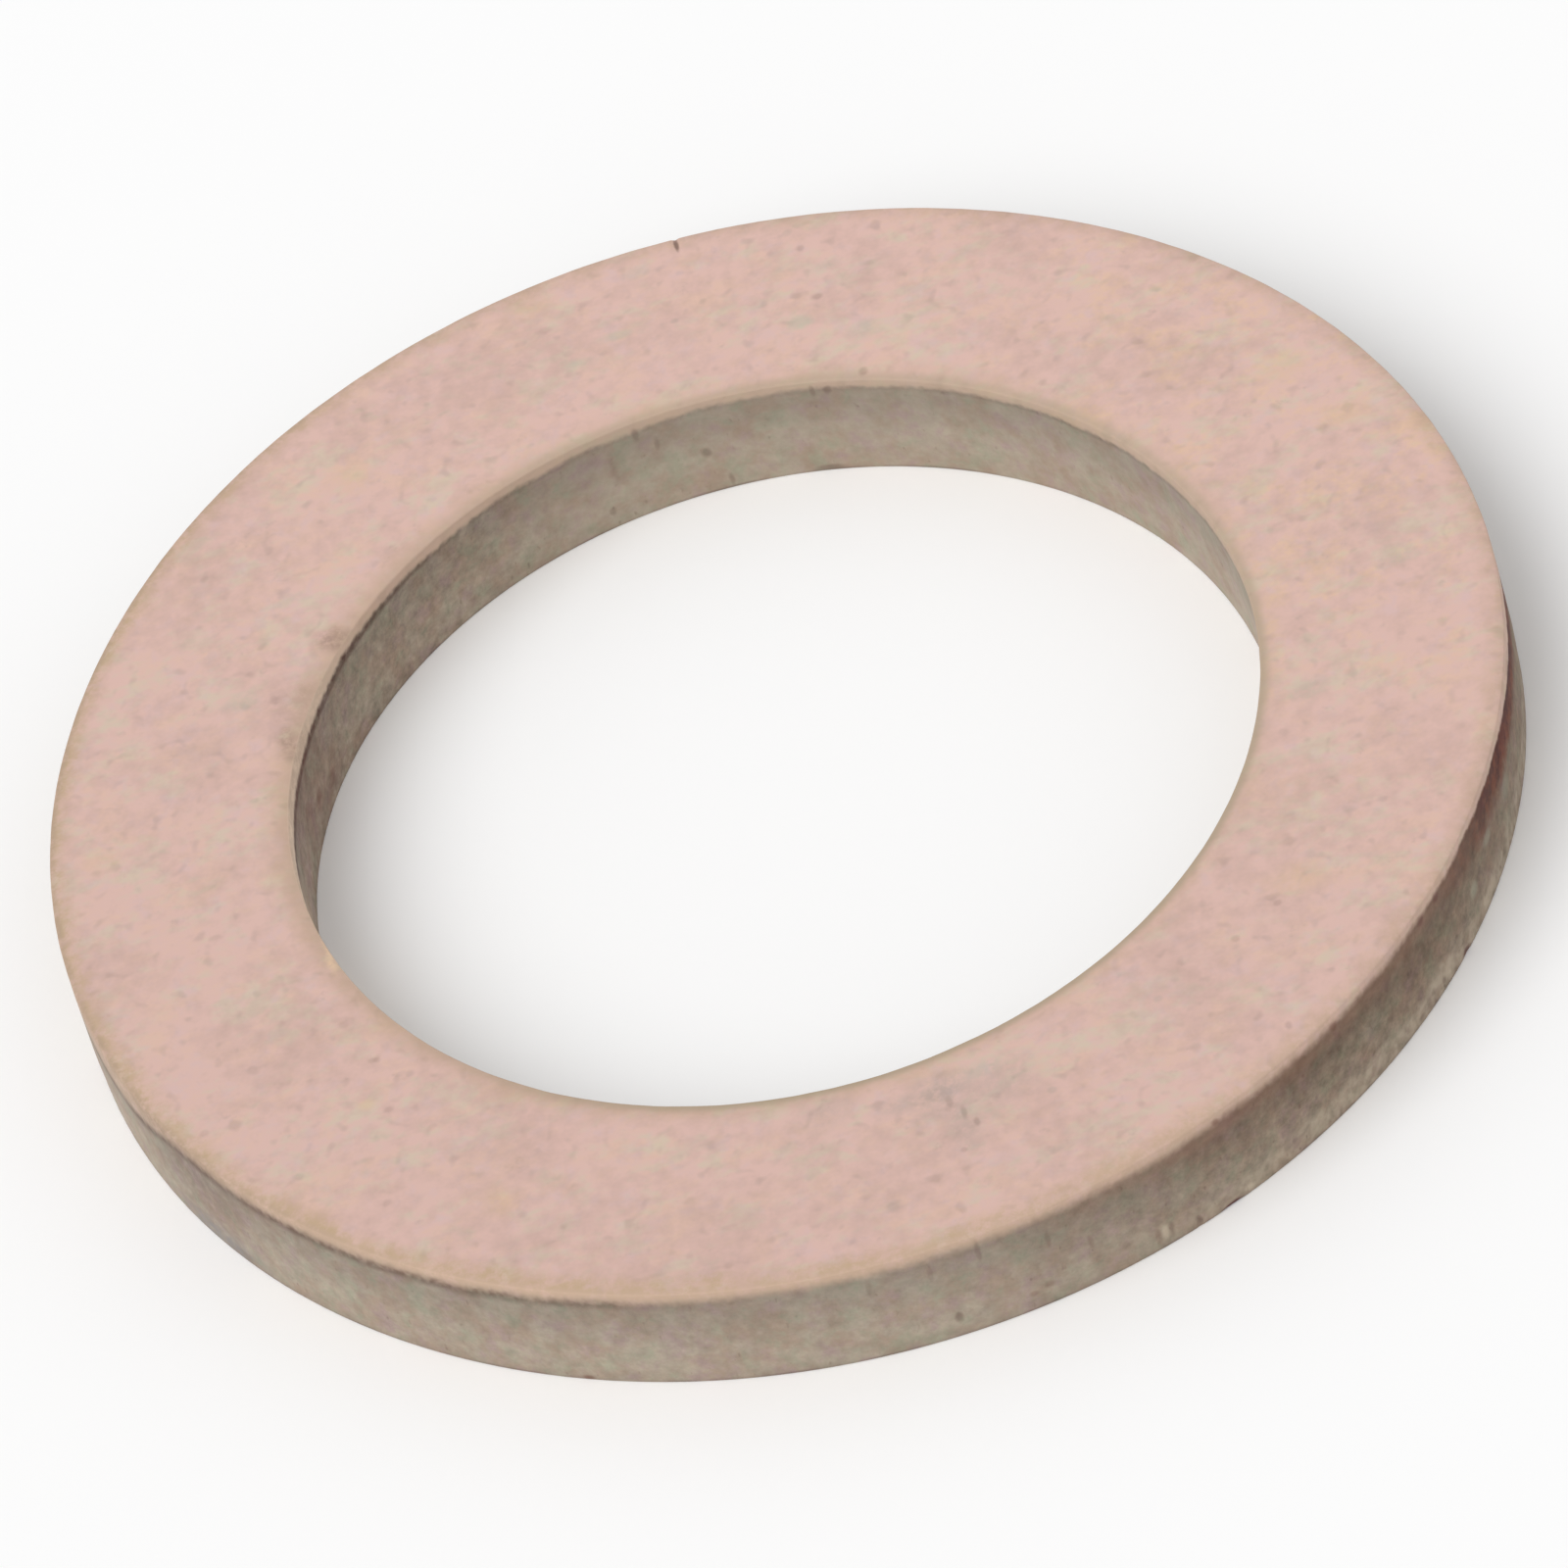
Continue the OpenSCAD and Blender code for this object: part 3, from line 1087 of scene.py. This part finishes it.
    def roughened(self, graph: Graph, blank: Sock, size: dict[str, Sock]) -> Sock:
        """Sinks the edges' waver, the torn bands and the dents into the ring's surface.

        Args:
            graph: The ring's tree.
            blank: The turned mesh.
            size: The tree's inputs by name.

        Returns:
            The mesh, nowhere proud of the turned one.
        """
        place = graph.add("GeometryNodeInputPosition")
        normal = graph.add("GeometryNodeInputNormal")
        radius = graph.length(place * LEVEL_PLANE)
        height = graph.axes(place)[2]
        near = graph.least(size["Outer Radius"] - radius, radius - size["Bore Radius"])
        down = size["Thickness"] - height
        depth = self.wear.rim(graph, place, near, down) + self.wear.band(graph, place, near, height)
        for mark in FACE_MARKS + WALL_MARKS:
            if mark.depth:
                depth = depth + mark.cover(graph, place, self.ring, mark.depth)
        sinking = {"Geometry": blank, "Offset": normal * (-depth)}
        return graph.add("GeometryNodeSetPosition", sinking)


def toward(azimuth: float, elevation: float) -> Vector:
    """The direction at an azimuth from +X and an elevation above the floor, both in degrees."""
    turn, rise = math.radians(azimuth), math.radians(elevation)
    return Vector((math.cos(turn) * math.cos(rise), math.sin(turn) * math.cos(rise), math.sin(rise)))


@dataclass(frozen=True)
class Viewpoint:
    """The camera, turned and placed as the photograph was taken, with a centred lens."""

    azimuth: float = 270.0
    elevation: float = 44.7
    roll: float = 17.0
    distance: float = 191.7
    lens: float = 363.75
    sensor: float = 36.0
    frame_px: float = 1600.0
    ring_centre_px: tuple[float, float] = (787.3, 748.4)
    clip: tuple[float, float] = (0.01, 10.0)

    def build(self, target: Vector) -> bpy.types.Object:
        """Makes the scene's camera.

        Args:
            target: The middle of the upper face, in millimetres.

        Returns:
            The camera.
        """
        roll, swing = math.radians(self.roll), math.radians(self.azimuth)
        back = toward(self.azimuth, self.elevation)
        across = Vector((-math.sin(swing), math.cos(swing), 0.0))
        up = back.cross(across)
        right = across * math.cos(roll) - up * math.sin(roll)
        top = across * math.sin(roll) + up * math.cos(roll)
        mm_per_px = self.distance * self.sensor / self.lens / self.frame_px
        aside = (self.frame_px / 2 - self.ring_centre_px[0]) * mm_per_px
        below = (self.frame_px / 2 - self.ring_centre_px[1]) * mm_per_px
        eye = target + back * self.distance + right * aside - top * below

        data = bpy.data.cameras.new("camera")
        data.lens, data.sensor_width = self.lens, self.sensor
        data.clip_start, data.clip_end = self.clip
        camera = placed("camera", data)
        turn = Matrix((right, top, back)).transposed().to_4x4()
        camera.matrix_world = Matrix.Translation(eye * METRES_PER_MM) @ turn
        bpy.context.scene.camera = camera
        return camera


@dataclass(frozen=True)
class Studio:
    """A pale floor under an even white sky, with one broad lamp from the front left."""

    floor_radius: float = 600.0
    floor_colour: float = 0.96
    floor_roughness: float = 0.9
    floor_sheen: float = 0.0
    sky_level: float = 0.66
    lamp_level: float = 0.36
    lamp_azimuth: float = 215.0
    lamp_elevation: float = 50.0
    lamp_softness: float = 50.0

    def build(self) -> None:
        """Makes the floor, the sky and the lamp."""
        self.floor()
        self.sky()
        self.lamp()

    def floor(self) -> bpy.types.Object:
        """Makes the floor that the ring lies on."""
        material = bpy.data.materials.new("pale_floor")
        material.use_nodes = True
        shader = material.node_tree.nodes["Principled BSDF"]
        shader.inputs["Base Color"].default_value = (self.floor_colour,) * 3 + (1.0,)
        shader.inputs["Roughness"].default_value = self.floor_roughness
        shader.inputs["Specular IOR Level"].default_value = self.floor_sheen
        half = self.floor_radius * METRES_PER_MM
        mesh = bpy.data.meshes.new("floor")
        corners = [(-half, -half, 0.0), (half, -half, 0.0), (half, half, 0.0), (-half, half, 0.0)]
        mesh.from_pydata(corners, [], [(0, 1, 2, 3)])
        mesh.materials.append(material)
        made = placed("floor", mesh)
        return made

    def sky(self) -> None:
        """Makes the world: white where it is seen or mirrored, dimmer as a light."""
        world = bpy.data.worlds.new("sky")
        world.use_nodes = True
        world.node_tree.nodes.clear()
        bpy.context.scene.world = world
        graph = Graph(world.node_tree)
        path = graph.add("ShaderNodeLightPath", out="Is Camera Ray")
        outputs = path.socket.node.outputs
        seen = graph.most(graph.most(path, Sock(graph, outputs["Is Glossy Ray"])),
                          Sock(graph, outputs["Is Transmission Ray"]))
        level = self.sky_level + (1.0 - self.sky_level) * seen
        shine = {"Color": (1.0, 1.0, 1.0, 1.0), "Strength": level}
        graph.finish("ShaderNodeOutputWorld", "Surface", graph.add("ShaderNodeBackground", shine))

    def lamp(self) -> bpy.types.Object:
        """Makes the broad lamp, as bright on the floor as lamp_level says."""
        source = toward(self.lamp_azimuth, self.lamp_elevation)
        data = bpy.data.lights.new("lamp", "SUN")
        data.energy = math.pi * self.lamp_level / source.z
        data.angle = math.radians(self.lamp_softness)
        made = placed("lamp", data)
        made.rotation_euler = source.to_track_quat("Z", "Y").to_euler()
        return made


def main() -> None:
    """Builds the ring and the studio."""
    logging.basicConfig(level=logging.INFO, format="%(name)s: %(message)s")
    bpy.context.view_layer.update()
    scene = bpy.context.scene
    scene.view_settings.view_transform = "Standard"
    section = Section.from_frame()
    Viewpoint().build(Vector((0.0, 0.0, section.thickness)))
    Studio().build()
    piece = SealingRing(section, CopperFinish(section)).build()
    LOG.info("%s has %d faces", piece.name, len(piece.data.polygons))


if __name__ == "__main__":
    main()
